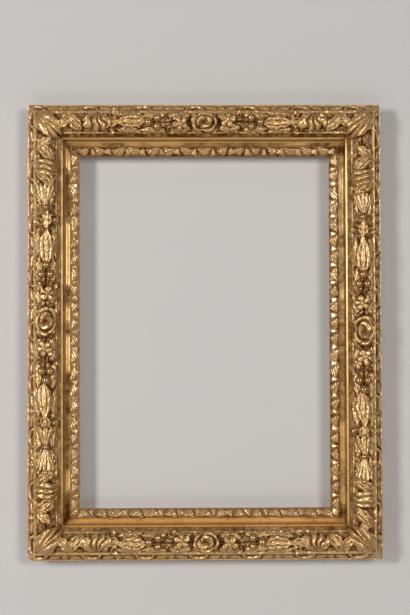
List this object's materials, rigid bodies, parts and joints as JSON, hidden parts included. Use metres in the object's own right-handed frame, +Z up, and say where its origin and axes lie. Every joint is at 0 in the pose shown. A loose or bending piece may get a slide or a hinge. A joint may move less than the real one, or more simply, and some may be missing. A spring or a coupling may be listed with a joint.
{
  "type": "carved gilded picture frame",
  "caption": "Upright picture frame of carved and gilded mitred mouldings on a pegged oak back frame, with a hanging ring and turn buttons behind.",
  "frame": {"origin": "on the turning axis of the hanging ring, behind the middle of the top rail", "axes": "+Z up, +Y towards the wall, so the front faces -Y, +X to the right seen from the front"},
  "size_m": [0.452, 0.0517, 0.582],
  "materials": {
    "oak": "old oak, bare and darkened",
    "oak_peg": "oak end grain",
    "gilded_carving": "worn gold leaf over red clay on carved wood",
    "burnished_gold": "burnished gold leaf on wood",
    "gilded_sight": "worn gold leaf on carved wood",
    "brass": "dull aged brass",
    "steel_screw": "dull steel"
  },
  "bodies": {
    "frame": {"back_top_rail": "oak", "back_bottom_rail": "oak", "back_left_stile": "oak", "back_right_stile": "oak", "corner_pegs": "oak_peg", "carved_top": "gilded_carving", "carved_bottom": "gilded_carving", "carved_left": "gilded_carving", "carved_right": "gilded_carving", "hollow_top": "burnished_gold", "hollow_bottom": "burnished_gold", "hollow_left": "burnished_gold", "hollow_right": "burnished_gold", "sight_top": "gilded_sight", "sight_bottom": "gilded_sight", "sight_left": "gilded_sight", "sight_right": "gilded_sight", "hanger_plate": "brass", "hanger_screw": "steel_screw", "turn_button_screws": "steel_screw"},
    "ring": {"hanging_ring": "brass"},
    "button_left_upper": {"turn_button_left_upper": "brass"},
    "button_left_lower": {"turn_button_left_lower": "brass"},
    "button_right_upper": {"turn_button_right_upper": "brass"},
    "button_right_lower": {"turn_button_right_lower": "brass"}
  },
  "joints": [
    {"name": "ring_swing", "type": "hinge", "parent": "frame", "child": "ring", "pos_m": [0, 0, 0], "axis": [1, 0, 0], "range_deg": [0, 180]},
    {"name": "button_left_upper_turn", "type": "hinge", "parent": "frame", "child": "button_left_upper", "pos_m": [-0.178, -0.0018, -0.131], "axis": [0, 1, 0], "continuous": true},
    {"name": "button_left_lower_turn", "type": "hinge", "parent": "frame", "child": "button_left_lower", "pos_m": [-0.178, -0.0018, -0.391], "axis": [0, 1, 0], "continuous": true},
    {"name": "button_right_upper_turn", "type": "hinge", "parent": "frame", "child": "button_right_upper", "pos_m": [0.178, -0.0018, -0.131], "axis": [0, 1, 0], "continuous": true},
    {"name": "button_right_lower_turn", "type": "hinge", "parent": "frame", "child": "button_right_lower", "pos_m": [0.178, -0.0018, -0.391], "axis": [0, 1, 0], "continuous": true}
  ]
}
